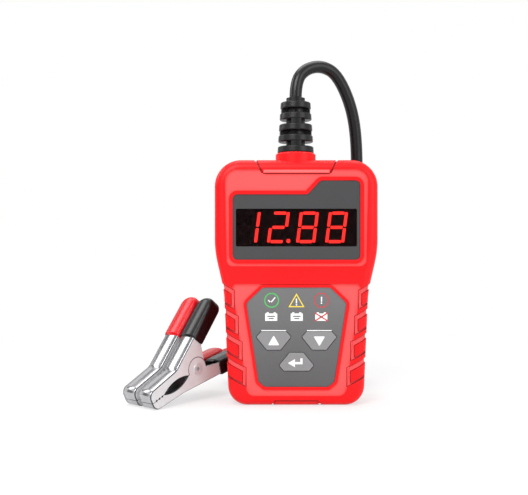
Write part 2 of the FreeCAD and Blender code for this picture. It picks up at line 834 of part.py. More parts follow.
def on_handle(solid, bend):
    solid.rotate(Vector(0, 0, 0), Vector(0, 1, 0), -bend)
    solid.translate(Vector(jaw_length, 0, jaw_depth))
    return solid


def lead_lug(bend):
    """Crimped barrel on the handle's inner face, and the end of the lead from it to the sleeve's end."""
    depth = -handle_depth / 2
    start = lower_sleeve_start
    barrel = rod(lead_radius + lug_wall, Vector(start, 0, depth), Vector(start + lug_length, 0, depth))
    foot = block((start, start + lug_length), (-lead_radius, lead_radius), (depth, -sheet))
    core = rod(lead_radius, Vector(start, 0, depth), Vector(handle_run + sleeve_end, 0, depth))
    return on_handle(fuse([barrel, foot, core]), bend)


def pivot_rivet():
    reach = clip_half + rivet_head_height
    pieces = [rod(rivet_radius, Vector(pivot_x, -reach, 0), Vector(pivot_x, reach, 0))]
    for side in (-1, 1):
        head = rod(rivet_head, Vector(pivot_x, side * clip_half, 0), Vector(pivot_x, side * reach, 0))
        pieces.append(head.makeFillet(0.35, rim_edges(head, side * reach)))
    solid = fuse(pieces)
    for side in (-1, 1):
        deep = Vector(pivot_x, side * (reach - 1.5), 0)
        solid = solid.cut(rod(rivet_dimple, deep, deep + Vector(0, side * 3, 0)))
    return solid


def biarc(start, start_way, end, end_way):
    """Two arcs that leave start and reach end in the given directions."""
    chord = end - start
    ways = start_way + end_way
    a = 2 * (1 - start_way.dot(end_way))
    b = 2 * chord.dot(ways)
    c = -chord.dot(chord)
    if abs(a) < 1e-9:
        reach = -c / b
    else:
        reach = (-b + (b * b - 4 * a * c) ** 0.5) / (2 * a)
    joint = (start + start_way * reach + end - end_way * reach) * 0.5
    return [Part.Arc(*arc_points(start, start_way, joint)).toShape(),
            Part.Arc(*reversed(arc_points(end, end_way * -1, joint))).toShape()]


def arc_points(start, way, end):
    """Start, middle and end of the arc that leaves start along way and passes through end."""
    chord = end - start
    turn = way.getAngle(chord)
    side = (way - chord * (way.dot(chord) / chord.dot(chord))).normalize()
    middle = start + chord * 0.5 + side * (chord.Length / 2 * tan(turn / 2))
    return start, middle, end


def wound_tube(places, ways, radius, lead_in, lead_out, label, turn_samples):
    """Unbroken tube on biarcs through the given places, with straight ends; prints its gap to itself."""
    first = places[0] - ways[0] * lead_in
    last = places[-1] + ways[-1] * lead_out
    edges = [Part.LineSegment(first, places[0]).toShape()]
    for index in range(len(places) - 1):
        edges += biarc(places[index], ways[index], places[index + 1], ways[index + 1])
    edges.append(Part.LineSegment(places[-1], last).toShape())
    path = Part.Wire(edges)
    ring = Part.Wire(Part.Circle(first, ways[0], radius).toShape())
    tube = path.makePipeShell([ring], True, False)
    count = turn_samples * 36
    marks = path.discretize(Number=count)
    skip = int(count * 0.6 * turn_samples_share(path.Length, places))
    least = min((marks[i] - marks[j]).Length for i in range(0, count, 2) for j in range(i + skip, count))
    share = tube.Volume / (pi * radius ** 2 * path.Length)
    print(label, "length", round(path.Length, 1), "gap to itself", round(least - 2 * radius, 2),
          "volume share", round(share, 4))
    return tube


def turn_samples_share(length, places):
    """Share of the whole length that one turn of four places takes."""
    turn = sum((places[i + 1] - places[i]).Length for i in range(4)) * 1.1
    return turn / length


def torsion_spring():
    """Wound wire on the rivet, with a leg towards each handle."""
    upper_leg = upper_bend + upper_leg_rise
    lower_leg = lower_bend + lower_leg_rise
    begin = 90.0 + upper_leg
    sweep = 360.0 * spring_turns + 180.0 - upper_leg - lower_leg
    steps = 4 * spring_turns + 2
    long = spring_pitch * sweep / 360.0
    places = []
    ways = []
    for index in range(steps + 1):
        turn = radians(begin + sweep * index / steps)
        y = long / 2 - long * index / steps
        places.append(Vector(pivot_x + spring_radius * cos(turn), y, spring_radius * sin(turn)))
        pace = radians(sweep) * spring_radius
        drift = 0.0 if index in (0, steps) else -long
        ways.append(Vector(-sin(turn) * pace, drift, cos(turn) * pace).normalize())
    return wound_tube(places, ways, spring_wire / 2, spring_leg, spring_leg, "clip spring", spring_turns)


def clip_placement(shift):
    """Place of a clip: turned, tilted and set on its nose; shift is its distance behind the black clip."""
    turn = Rotation(Vector(0, 0, 1), clip_direction) * Rotation(Vector(0, 1, 0), -clip_tilt)
    aside = Vector(-sin(radians(clip_direction)), cos(radians(clip_direction)), 0) * shift
    return Placement(Vector(clip_nose[0], clip_nose[1], 0) + aside, turn)


def clip_pieces():
    """The pieces of one clip, in its own frame."""
    lower = Vector(0, 0, 0), Vector(0, 0, 1)
    return {
        "upper_arm": clip_arm(nose_depth_upper, upper_bend, upper_sleeve_start, False),
        "lower_arm": clip_arm(nose_depth_lower, lower_bend, lower_sleeve_start, True).mirror(*lower),
        "upper_sleeve": handle_sleeve(upper_bend, upper_sleeve_start, False),
        "lower_sleeve": handle_sleeve(lower_bend, lower_sleeve_start, True).mirror(*lower),
        "pivot_rivet": pivot_rivet(),
        "spring": torsion_spring(),
        "lead_lug": lead_lug(lower_bend).mirror(*lower),
    }


def placed_clip(pieces, shift):
    """Pieces of a clip where it lies, with its lowest point on the floor, and the end of its lead."""
    place = clip_placement(shift)
    moved = {}
    for name, solid in pieces.items():
        copy = solid.copy()
        copy.Placement = place.multiply(copy.Placement)
        moved[name] = copy
    lift = Vector(0, 0, floor_gap - moved["lower_arm"].optimalBoundingBox().ZMin)
    for solid in moved.values():
        solid.translate(lift)
    exit_x, exit_z = handle_point(lower_bend, handle_run + sleeve_end, handle_depth / 2)
    lead_end = place.multVec(Vector(exit_x, 0, -exit_z)) + lift
    way = place.Rotation.multVec(Vector(cos(radians(lower_bend)), 0, -sin(radians(lower_bend))))
    pivot = place.multVec(Vector(pivot_x, 0, 0)) + lift
    return moved, lead_end, way, pivot


def coil_place(turns):
    """Place on the coil's centre line after so many turns, clockwise from the front, seen from above."""
    middle = coil_turns / 2
    radius = coil_radius - coil_pitch * (middle - abs(turns - middle))
    climb = min(max((turns - middle + 0.25) / 0.5, 0.0), 1.0)
    climb = climb * climb * (3 - 2 * climb)
    angle = radians(-90.0 - 360.0 * turns)
    z = cable_radius + tie_gap + tie_thick + floor_gap + coil_pitch * climb
    return Vector(coil_centre[0] + radius * cos(angle), coil_centre[1] + radius * sin(angle), z)


def coil_way(turns):
    small = 1e-4
    if turns < small or turns > coil_turns - small:
        angle = radians(-90.0 - 360.0 * turns)
        return Vector(sin(angle), -cos(angle), 0)
    return (coil_place(turns + small) - coil_place(turns - small)).normalize()


def cable_coil():
    """The put-away length in two layers: the lower one winds inwards, the upper one outwards."""
    steps = int(4 * coil_turns)
    places = [coil_place(coil_turns * index / steps) for index in range(steps + 1)]
    ways = [coil_way(coil_turns * index / steps) for index in range(steps + 1)]
    return wound_tube(places, ways, cable_radius, cable_diameter, cable_diameter, "cable coil", 8)


def main_cable():
    """From the strain relief over the loop, down behind the case and along the floor to the coil."""
    front = coil_place(0)
    points = [Vector(x, y, z) for x, y, z in (
        (0.0, lead_axis_y, relief_top), (0.0, lead_axis_y, 161.0), (5.9, 1.6, 168.9), (14.8, 5.6, 171.2),
        (22.6, 9.4, 166.6), (29.2, 14.4, 150.0), (32.6, 18.4, 131.0), (33.6, 20.4, 105.0),
        (33.2, 21.2, 66.0), (30.6, 21.2, 36.0), (25.0, 20.8, 19.0), (14.0, 20.3, 7.4))]
    points += [front + Vector(2.4 * cable_diameter, 0, 0), front + Vector(cable_diameter, 0, 0)]
    return route_tube(points, cable_radius, "main cable")


split_inlet = Vector(34.0, 69.0, split_height / 2)


def cable_tail():
    """From the coil's upper layer down to the floor and into the split."""
    end = coil_place(coil_turns) + coil_way(coil_turns) * cable_diameter
    points = [end, end + Vector(8.0, 0, 0)]
    points += [Vector(x, y, z) for x, y, z in ((10.0, 92.1, 8.8), (18.8, 92.0, 6.2), (28.4, 86.4, 4.6))]
    points += [split_inlet + Vector(0, 7.6, 0), split_inlet]
    return route_tube(points, cable_radius, "cable tail")


def lead_split():
    """Moulded split: round where the cable enters, flat and wide where the two leads leave."""
    end_y = split_inlet.y - split_length
    middle = split_inlet.z
    corners = [
        (split_inlet.x - split_width / 2, end_y, 2.0), (split_inlet.x + split_width / 2, end_y, 2.0),
        (split_inlet.x + split_width / 2, end_y + split_length * 0.45, 6.0),
        (split_inlet.x + cable_radius + 1.2, split_inlet.y, 0.8),
        (split_inlet.x - cable_radius - 1.2, split_inlet.y, 0.8),
        (split_inlet.x - split_width / 2, end_y + split_length * 0.45, 6.0),
    ]
    flat = plate(corners, 0, split_height)
    flat.rotate(Vector(0, 0, 0), Vector(1, 0, 0), -90)
    flat.rotate(Vector(split_inlet.x, 0, 0), Vector(0, 1, 0), 180) if flat.BoundBox.YMax < 0 else None
    box = flat.BoundBox
    flat.translate(Vector(split_inlet.x - box.Center.x, (split_inlet.y + end_y) / 2 - box.Center.y,
                          middle - box.Center.z))
    rims = [edge for edge in flat.Edges if edge.BoundBox.ZLength < 1e-4]
    return flat.makeFillet(1.8, rims)


def split_outlet(side):
    return Vector(split_inlet.x + side * split_width / 4, split_inlet.y - split_length, split_inlet.z)


def clip_lead(side, middle_points, lead_end, way, label):
    """From the split over the coil to the end of a clip's lower sleeve."""
    points = [split_outlet(side)]
    points += [Vector(x, y, z) for x, y, z in middle_points]
    points += [lead_end + way * 9.0, lead_end]
    return route_tube(points, lead_radius, label)


def coil_tie():
    """Flat strap drawn round the strands of the coil where it is tied."""
    turns = [count + (270.0 - tie_angle) / 360.0 for count in range(int(coil_turns) + 1)]
    spots = []
    for turn in turns:
        if turn < coil_turns:
            place = coil_place(turn)
            reach = ((place.x - coil_centre[0]) ** 2 + (place.y - coil_centre[1]) ** 2) ** 0.5
            spots.append((reach, place.z))
    spots.sort()
    hull = convex_hull(spots)
    wire = Part.makePolygon([Vector(x, 0, z) for x, z in hull + hull[:1]])
    inner = wire.makeOffset2D(cable_radius + tie_gap)
    outer = wire.makeOffset2D(cable_radius + tie_gap + tie_thick)
    strap = Part.Face(outer).extrude(Vector(0, tie_width, 0)).cut(Part.Face(inner).extrude(Vector(0, tie_width, 0)))
    strap.translate(Vector(0, -tie_width / 2, 0))
    strap.rotate(Vector(0, 0, 0), Vector(0, 0, 1), tie_angle)
    strap.translate(Vector(coil_centre[0], coil_centre[1], 0))
    return strap


def convex_hull(points):
    """Corners of the hull of points sorted by their first value, anticlockwise."""
    def chain(items):
        kept = []
        for item in items:
            while len(kept) > 1 and turn_of(kept[-2], kept[-1], item) <= 0:
                kept.pop()
            kept.append(item)
        return kept[:-1]
    return chain(points) + chain(points[::-1])


def turn_of(a, b, c):
    return (b[0] - a[0]) * (c[1] - a[1]) - (b[1] - a[1]) * (c[0] - a[0])


def all_nodes():
    nodes = {}
    nodes["front_shell"], nodes["rear_shell"] = case_shells()
    nodes["case_screws"] = case_screws()
    nodes["display_lens"], nodes["display_film"], nodes["led_display"] = display_pieces()
    nodes["lit_segments"], nodes["dark_segments"] = display_segments()
    nodes["keypad_overlay"] = keypad_overlay()
    nodes["tact_switches"], plungers = switch_pieces()
    for name in key_outlines:
        nodes[name + "_key"] = key_piece(name)
        nodes[name + "_plunger"] = plungers[name]
    nodes["main_board"] = main_board()
    nodes["board_screws"] = board_screws()
    nodes["lamp_leds"] = lamp_leds()
    nodes["controller_chip"] = controller_chip()
    nodes["load_resistors"] = load_resistors()
    nodes["capacitor"] = capacitor()
    nodes["wire_header"] = wire_header()
    nodes["inner_wire_red"] = inner_wire(1)
    nodes["inner_wire_black"] = inner_wire(-1)
    nodes["strain_relief"] = strain_relief()
    nodes["main_cable"] = main_cable()
    nodes["cable_coil"] = cable_coil()
    nodes["coil_tie"] = coil_tie()
    nodes["cable_tail"] = cable_tail()
    nodes["lead_split"] = lead_split()
    pieces = clip_pieces()
    black, black_end, way, black_pivot = placed_clip(pieces, 0.0)
    red, red_end, way, red_pivot = placed_clip(pieces, clip_pitch)
    print("black pivot", black_pivot, "red pivot", red_pivot)
    print("black lead end", black_end, "red lead end", red_end, "way", way)
    black_route = ((37.0, 41.3, 4.0), (32.3, 33.2, 6.4), (24.2, 28.5, 10.6), (13.4, 30.2, 16.0), (3.0, 35.0, 19.0),
                   (-8.0, 38.0, 19.2))
    red_route = ((31.0, 42.9, 4.0), (27.9, 37.6, 6.2), (22.6, 34.2, 11.0), (13.4, 36.0, 18.2), (3.0, 41.4, 20.4),
                 (-8.5, 46.6, 20.2), (-20.5, 47.6, 19.8))
    nodes["black_lead"] = clip_lead(1, black_route, black_end, way, "black lead")
    nodes["red_lead"] = clip_lead(-1, red_route, red_end, way, "red lead")
    for colour, clip in (("black", black), ("red", red)):
        for name, solid in clip.items():
            nodes[colour + "_clip_" + name] = solid
    return nodes


def main():
    os.makedirs("parts", exist_ok=True)
    for name, solid in all_nodes().items():
        if not solid.isValid():
            print("not valid:", name)
        box = solid.BoundBox
        print(name, len(solid.Solids), "solids", round(solid.Volume, 1),
              [round(v, 1) for v in (box.XMin, box.YMin, box.ZMin, box.XMax, box.YMax, box.ZMax)])
        solid.exportStep("parts/" + name + ".step")


main()
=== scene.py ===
import math

import bmesh
import bpy
from mathutils import Matrix, Vector


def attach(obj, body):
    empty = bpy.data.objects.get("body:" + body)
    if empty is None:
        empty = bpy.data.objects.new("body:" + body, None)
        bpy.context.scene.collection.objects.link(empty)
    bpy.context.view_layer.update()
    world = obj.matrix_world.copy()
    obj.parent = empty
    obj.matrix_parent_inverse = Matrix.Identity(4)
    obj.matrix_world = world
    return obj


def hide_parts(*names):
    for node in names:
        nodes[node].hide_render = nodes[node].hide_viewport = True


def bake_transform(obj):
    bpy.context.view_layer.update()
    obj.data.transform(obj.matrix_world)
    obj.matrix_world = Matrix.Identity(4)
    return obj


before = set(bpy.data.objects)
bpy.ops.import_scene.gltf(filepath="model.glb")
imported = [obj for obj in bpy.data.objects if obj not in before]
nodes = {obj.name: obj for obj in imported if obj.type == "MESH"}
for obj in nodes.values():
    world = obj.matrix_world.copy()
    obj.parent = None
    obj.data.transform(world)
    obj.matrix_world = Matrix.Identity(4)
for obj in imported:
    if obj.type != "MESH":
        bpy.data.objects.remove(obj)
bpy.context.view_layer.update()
scene = bpy.context.scene
scene.view_settings.view_transform = "Standard"

# Lengths are in millimetres. The camera, the studio and a shader's own coordinates are in metres
MM = 0.001

# Front faces of the CAD model along Y, where colours change and ink lies
OVERLAY_Y = -11.6
KEY_Y = -12.2
PANEL_Y = -11.3
DISPLAY_Y = -9.6

# Clips: both are turned and tilted alike round their rivets
CLIP_TURN = math.radians(47)
CLIP_PIVOT = {"black": (-52.61, 0.79, 16.68), "red": (-61.39, 8.98, 16.68)}
CLIP_FLANK = 4.93
# Band along the clip faces' edges that is painted near black: painted reflection and shade of the rounded edges
CLIP_EDGE_SHADE = (4.2, 4.7)

# Grip channels: U shapes that lean up and outwards, each farther out than the one below
GRIP_ROWS = 4
GRIP_PITCH = 11.565
GRIP_START = -3.62
GRIP_SLOPE = 0.5317
GRIP_HEIGHT = 9.2
GRIP_INNER = 24.51
GRIP_STEP = 1.86
GRIP_CHANNEL = 1.7
GRIP_ISLAND = (0.8, 6.6)
# Width of the deep red outline painted round each channel as painted shade
GRIP_SHADE_LINE = 0.22

# Tabs at the top and the foot of the case
TAB_BOTTOM = 113.4
TAB_HALF = 16.55
TAB_SLOPE = 0.526
TAB_LINE = 0.55
FOOT_TAB_HALF = 10.6

# Recessed panels, a little outside their walls
WAIST = 64.0
PANEL_TOP = 115.4
PANEL_HALF = 35.1
PANEL_FOOT = 4.0
PANEL_FOOT_HALF = 23.45
PANEL_TAPER = 0.1374

# Display digits
DIGITS = ("bc", "abged", "abcdefg", "abcdefg")
DIGIT_FIRST = -28.6
DIGIT_PITCH = 14.2
DIGIT_LOW = 79.2
DIGIT_HIGH = 15.5
DIGIT_WIDE = 9.4
DIGIT_BAR = 1.55
DIGIT_LEAN = 0.125

# Printed signs
INK = 0.06
SIGN_X = (-12.1, 0.0, 12.2)
SIGN_Z = 51.4
BATTERY_X = (-12.3, 0.15, 12.1)
BATTERY_Z = 43.5
KEY_X = 11.1

# Colours that more than one finish uses
CASE_RED = (0.80, 0.003, 0.005)
BLACK = (0.005, 0.005, 0.0055)

# Point between the clips that cards and the strip lamp face, in metres
CARD_AIM = (-0.055, 0.02, 0.05)


# Camera: level, straight at the front, as far away as the tester's perspective shows
def add_camera():
    data = bpy.data.cameras.new("camera")
    data.sensor_width = 36.0
    data.lens = 53.35
    data.clip_start = 0.01
    camera = bpy.data.objects.new("camera", data)
    camera.location = (-0.0158, -0.3925, 0.0771)
    camera.rotation_euler = (math.radians(90), 0, 0)
    scene.collection.objects.link(camera)
    scene.camera = camera


# Nodes and materials
def node(tree, kind, links=None, **settings):
    item = tree.nodes.new(kind)
    for key, value in settings.items():
        setattr(item, key, value)
    for key, value in (links or {}).items():
        if isinstance(value, bpy.types.NodeSocket):
            tree.links.new(value, item.inputs[key])
        else:
            item.inputs[key].default_value = value
    return item


def math_node(tree, operation, first, second=0.0):
    return node(tree, "ShaderNodeMath", {0: first, 1: second}, operation=operation).outputs[0]


def new_group(name, inputs, outputs):
    group = bpy.data.node_groups.new(name, "ShaderNodeTree")
    for label, kind, value in inputs:
        socket = group.interface.new_socket(name=label, in_out="INPUT", socket_type=kind)
        if value is not None:
            socket.default_value = value
    for label, kind in outputs:
        group.interface.new_socket(name=label, in_out="OUTPUT", socket_type=kind)
    return group, group.nodes.new("NodeGroupInput"), group.nodes.new("NodeGroupOutput")


def varied(tree, base, shift, amount):
    """Colour made a little lighter or darker by a value round zero."""
    value = math_node(tree, "ADD", math_node(tree, "MULTIPLY", shift, amount), 1.0)
    return node(tree, "ShaderNodeHueSaturation", {"Color": base, "Value": value}).outputs["Color"]


def moulded_group():
    """Fine spark-eroded grain with slow changes of gloss, for moulded plastic and rubber."""
    group, given, result = new_group(
        "moulded_grain",
        [("Base", "NodeSocketColor", (0.5, 0.5, 0.5, 1)), ("Grain Size", "NodeSocketFloat", 4000.0),
         ("Roughness", "NodeSocketFloat", 0.4), ("Spread", "NodeSocketFloat", 0.1)],
        [("Color", "NodeSocketColor"), ("Roughness", "NodeSocketFloat"), ("Height", "NodeSocketFloat")])
    place = node(group, "ShaderNodeTexCoord").outputs["Object"]
    fine = node(group, "ShaderNodeTexNoise", {"Vector": place, "Scale": given.outputs["Grain Size"], "Detail": 3.0})
    slow = node(group, "ShaderNodeTexNoise", {"Vector": place, "Scale": 45.0, "Detail": 2.0})
    shift = math_node(group, "SUBTRACT", slow.outputs["Fac"], 0.5)
    change = math_node(group, "MULTIPLY", shift, given.outputs["Spread"])
    rough = math_node(group, "ADD", given.outputs["Roughness"], change)
    group.links.new(varied(group, given.outputs["Base"], shift, 0.12), result.inputs["Color"])
    group.links.new(rough, result.inputs["Roughness"])
    group.links.new(fine.outputs["Fac"], result.inputs["Height"])
    return group


def plated_group():
    """Bright nickel plate: faint rolling lines and cloudy changes of gloss."""
    group, given, result = new_group(
        "plated_steel",
        [("Base", "NodeSocketColor", (0.7, 0.7, 0.7, 1)), ("Roughness", "NodeSocketFloat", 0.2)],
        [("Color", "NodeSocketColor"), ("Roughness", "NodeSocketFloat"), ("Height", "NodeSocketFloat")])
    place = node(group, "ShaderNodeTexCoord").outputs["Object"]
    turned = node(group, "ShaderNodeMapping", {"Vector": place, "Rotation": (0, math.radians(25), math.radians(-47)),
                                               "Scale": (60.0, 900.0, 900.0)})
    lines = node(group, "ShaderNodeTexNoise", {"Vector": turned.outputs[0], "Scale": 1.0, "Detail": 4.0})
    cloud = node(group, "ShaderNodeTexNoise", {"Vector": place, "Scale": 220.0, "Detail": 3.0})
    shift = math_node(group, "SUBTRACT", cloud.outputs["Fac"], 0.5)
    rough = math_node(group, "ADD", given.outputs["Roughness"], math_node(group, "MULTIPLY", shift, 0.14))
    group.links.new(varied(group, given.outputs["Base"], shift, 0.16), result.inputs["Color"])
    group.links.new(rough, result.inputs["Roughness"])
    group.links.new(lines.outputs["Fac"], result.inputs["Height"])
    return group


MOULDED = moulded_group()
PLATED = plated_group()


def new_material(name):
    material = bpy.data.materials.new(name)
    material.use_nodes = True
    tree = material.node_tree
    return material, tree, tree.nodes["Principled BSDF"]


def finish_surface(tree, shader, group, base, depth, **values):
    """Group on a shader: its colour, gloss and height, with the colour linked or written."""
    surface = node(tree, "ShaderNodeGroup", node_tree=group)
    for key, value in values.items():
        surface.inputs[key.replace("_", " ")].default_value = value
    if isinstance(base, bpy.types.NodeSocket):
        tree.links.new(base, surface.inputs["Base"])
    else:
        surface.inputs["Base"].default_value = (*base, 1)
    bump = node(tree, "ShaderNodeBump", {"Height": surface.outputs["Height"], "Strength": 0.35, "Distance": depth * MM})
    tree.links.new(surface.outputs["Color"], shader.inputs["Base Color"])
    tree.links.new(surface.outputs["Roughness"], shader.inputs["Roughness"])
    tree.links.new(bump.outputs["Normal"], shader.inputs["Normal"])


def moulded(name, base, roughness, grain=4000.0, depth=0.01, spread=0.1, coat=0.0, specular=0.5):
    material, tree, shader = new_material(name)
    finish_surface(tree, shader, MOULDED, base, depth, Grain_Size=grain, Roughness=roughness, Spread=spread)
    shader.inputs["Coat Weight"].default_value = coat
    shader.inputs["Coat Roughness"].default_value = 0.08
    shader.inputs["Specular IOR Level"].default_value = specular
    return material


def plated(name, base, roughness, metallic=1.0):
    material, tree, shader = new_material(name)
    finish_surface(tree, shader, PLATED, base, 0.004, Roughness=roughness)
    shader.inputs["Metallic"].default_value = metallic
    return material


def lateral(tree, clip):
    """Distance from a clip's middle plane in millimetres."""
    across = (-math.sin(CLIP_TURN) * 1000, math.cos(CLIP_TURN) * 1000, 0.0)
    middle = Vector(CLIP_PIVOT[clip]).dot(Vector(across)) * MM
    place = node(tree, "ShaderNodeTexCoord").outputs["Object"]
    offset = node(tree, "ShaderNodeVectorMath", {0: place, 1: across}, operation="DOT_PRODUCT").outputs["Value"]
    return math_node(tree, "SUBTRACT", offset, middle)


def crown(tree, offset, swell):
    """Rounds a flat face across a clip by tilting its normals."""
    height = math_node(tree, "MULTIPLY", math_node(tree, "MULTIPLY", offset, offset), -swell)
    grain = next(item for item in tree.nodes if item.type == "BUMP")
    bump = node(tree, "ShaderNodeBump", {"Height": height, "Strength": 1.0, "Distance": MM})
    tree.links.new(bump.outputs["Normal"], grain.inputs["Normal"])


def dipped(name, base, clip):
    """Dipped vinyl sleeve: glossy, and crowned across the handle."""
    material = moulded(name, base, 0.24, grain=900.0, depth=0.02, coat=0.1, specular=0.3)
    tree = material.node_tree
    crown(tree, lateral(tree, clip), 0.05)
    return material


def stamped(name, clip):
    """Nickel-plated stamping with faces crowned by bump. Dark bands along the face edges are painted reflection and
    shade of the rounded edges, and the side plates are painted paler and less metallic as painted light.
    """
    material, tree, shader = new_material(name)
    offset = lateral(tree, clip)
    away = math_node(tree, "ABSOLUTE", offset)
    flank = math_node(tree, "GREATER_THAN", away, CLIP_FLANK)
    # Near-black band along the face edges: painted reflection and shade
    edge = node(tree, "ShaderNodeMapRange", {0: away, 1: CLIP_EDGE_SHADE[0], 2: CLIP_EDGE_SHADE[1]},
                interpolation_type="SMOOTHSTEP")
    base = colour_step(tree, edge.outputs[0], (0.46, 0.46, 0.475), (0.07, 0.07, 0.075))
    # Side plates painted paler, and below far less metallic, than the faces of the same plating: painted light
    base = colour_step(tree, flank, base, (0.61, 0.62, 0.63))
    finish_surface(tree, shader, PLATED, base, 0.003, Roughness=0.2)
    shine = node(tree, "ShaderNodeMapRange", {0: flank, 3: 0.85, 4: 0.12})
    tree.links.new(shine.outputs[0], shader.inputs["Metallic"])
    shader.inputs["Specular IOR Level"].default_value = 0.2
    crown(tree, offset, 0.045)
    return material


def object_axis(tree, axis):
    place = node(tree, "ShaderNodeTexCoord").outputs["Object"]
    return node(tree, "ShaderNodeSeparateXYZ", {0: place}).outputs[axis]


def colour_step(tree, mask, low, high):
    mix = node(tree, "ShaderNodeMix", data_type="RGBA")
    tree.links.new(mask, mix.inputs["Factor"])
    for label, colour in (("A", low), ("B", high)):
        if isinstance(colour, bpy.types.NodeSocket):
            tree.links.new(colour, mix.inputs[label])
        else:
            mix.inputs[label].default_value = (*colour, 1)
    return mix.outputs["Result"]


def both(tree, *masks):
    """Mask of the points that lie in all the given masks."""
    result = masks[0]
    for mask in masks[1:]:
        result = math_node(tree, "MULTIPLY", result, mask)
    return result


def opposite(tree, mask):
    return math_node(tree, "SUBTRACT", 1.0, mask)


def between(tree, value, low, high):
    return both(tree, math_node(tree, "GREATER_THAN", value, low), math_node(tree, "LESS_THAN", value, high))


def grip_masks(tree, side, height):
    """Floors and outlines of the grip channels, from the distance to the middle and the height. The floors get a
    painted paler red as painted light, the outlines a deep red as painted shade.
    """
    rise = math_node(tree, "MULTIPLY", side, GRIP_SLOPE)
    slant = math_node(tree, "SUBTRACT", math_node(tree, "SUBTRACT", height, rise), GRIP_START)
    index = math_node(tree, "FLOOR", math_node(tree, "DIVIDE", math_node(tree, "ADD", slant, 1.0), GRIP_PITCH))
    along = math_node(tree, "SUBTRACT", slant, math_node(tree, "MULTIPLY", index, GRIP_PITCH))
    inner = math_node(tree, "ADD", math_node(tree, "MULTIPLY", index, GRIP_STEP), GRIP_INNER)
    reach = math_node(tree, "SUBTRACT", side, inner)
    rows = between(tree, index, -0.5, GRIP_ROWS - 0.5)

    def outside(grow):
        beyond = math_node(tree, "GREATER_THAN", reach, -grow)
        return both(tree, between(tree, along, -grow, GRIP_HEIGHT + grow), beyond, rows)

    def island(grow):
        beyond = math_node(tree, "GREATER_THAN", reach, GRIP_CHANNEL - grow)
        return both(tree, between(tree, along, GRIP_ISLAND[0] - grow, GRIP_ISLAND[1] + grow), beyond)

    floor = both(tree, outside(-GRIP_SHADE_LINE), opposite(tree, island(GRIP_SHADE_LINE)))
    line = both(tree, outside(GRIP_SHADE_LINE), opposite(tree, floor), opposite(tree, island(-GRIP_SHADE_LINE)))
    return floor, line


def tab_shade_mask(tree, side, height):
    """Grooves beside the tab on top, the line under it, and the line over the tab at the foot, all painted deep red:
    painted shade in the grooves and painted shadow along the tab edges.
    """
    above = math_node(tree, "SUBTRACT", height, TAB_BOTTOM)
    slope = math_node(tree, "ADD", math_node(tree, "MULTIPLY", above, TAB_SLOPE), TAB_HALF)
    flank = both(tree, between(tree, math_node(tree, "SUBTRACT", side, slope), -TAB_LINE, TAB_LINE),
                 math_node(tree, "GREATER_THAN", height, TAB_BOTTOM))
    under = both(tree, between(tree, height, 113.0, 113.45), math_node(tree, "LESS_THAN", side, 16.2))
    foot = both(tree, between(tree, height, 2.2, 2.9), math_node(tree, "LESS_THAN", side, FOOT_TAB_HALF))
    return math_node(tree, "MAXIMUM", math_node(tree, "MAXIMUM", flank, under), foot)


def panel_mask(tree, side, height):
    """Outlines of the two recessed panels."""
    upper = both(tree, between(tree, height, WAIST, PANEL_TOP), math_node(tree, "LESS_THAN", side, PANEL_HALF))
    taper = math_node(tree, "ADD", math_node(tree, "MULTIPLY", height, PANEL_TAPER), PANEL_FOOT_HALF)
    lower = both(tree, between(tree, height, PANEL_FOOT, WAIST), math_node(tree, "LESS_THAN", side, taper))
    return math_node(tree, "MAXIMUM", upper, lower)


def case_material():
    """Red case plastic; panel floors are paler. Grip channel floors are painted paler as painted light, a pale line
    under the top tab is a painted highlight, and the channel outlines, tab grooves and tab lines are painted deep red
    as painted shade and painted shadow.
    """
    material, tree, shader = new_material("case_red")
    place = node(tree, "ShaderNodeTexCoord").outputs["Object"]
    millimetres = node(tree, "ShaderNodeVectorMath", {0: place, 1: (1 / MM, 1 / MM, 1 / MM)}, operation="MULTIPLY")
    axes = node(tree, "ShaderNodeSeparateXYZ", {0: millimetres.outputs[0]}).outputs
    side = math_node(tree, "ABSOLUTE", axes["X"])
    front = math_node(tree, "LESS_THAN", axes["Y"], 0.4)
    floor = both(tree, between(tree, axes["Y"], PANEL_Y - 0.12, PANEL_Y + 0.12), panel_mask(tree, side, axes["Z"]))
    base = colour_step(tree, floor, CASE_RED, (0.88, 0.085, 0.085))
    # Pale line along the lower edge of the top tab: painted highlight
    edge = both(tree, between(tree, axes["Z"], 113.5, 114.9), math_node(tree, "LESS_THAN", side, 16.0),
                math_node(tree, "LESS_THAN", axes["Y"], -12.3))
    base = colour_step(tree, edge, base, (0.88, 0.13, 0.13))
    channel_light, line = grip_masks(tree, side, axes["Z"])
    # Channel floors painted paler: painted light
    base = colour_step(tree, both(tree, channel_light, front), base, (0.84, 0.075, 0.078))
    # Channel outlines painted deep red: painted shade in the grooves
    base = colour_step(tree, both(tree, line, front), base, (0.36, 0.006, 0.008))
    # Tab grooves and the lines under the top tab and over the foot tab painted deep red: painted shade and painted
    # shadow
    dark = both(tree, tab_shade_mask(tree, side, axes["Z"]), math_node(tree, "LESS_THAN", axes["Y"], -6.0))
    base = colour_step(tree, dark, base, (0.34, 0.004, 0.005))
    finish_surface(tree, shader, MOULDED, base, 0.012, Grain_Size=3600.0, Roughness=0.42, Spread=0.12)
    shader.inputs["Specular IOR Level"].default_value = 0.24
    return material


def overlay_material():
    """Grey keypad foil, a little darker towards the foot."""
    material, tree, shader = new_material("keypad_foil")
    height = node(tree, "ShaderNodeMapRange", {0: object_axis(tree, "Z"), 1: 0.010, 2: 0.058})
    base = colour_step(tree, height.outputs[0], (0.082, 0.082, 0.085), (0.140, 0.140, 0.143))
    finish_surface(tree, shader, MOULDED, base, 0.006, Grain_Size=7000.0, Roughness=0.42, Spread=0.08)
    return material


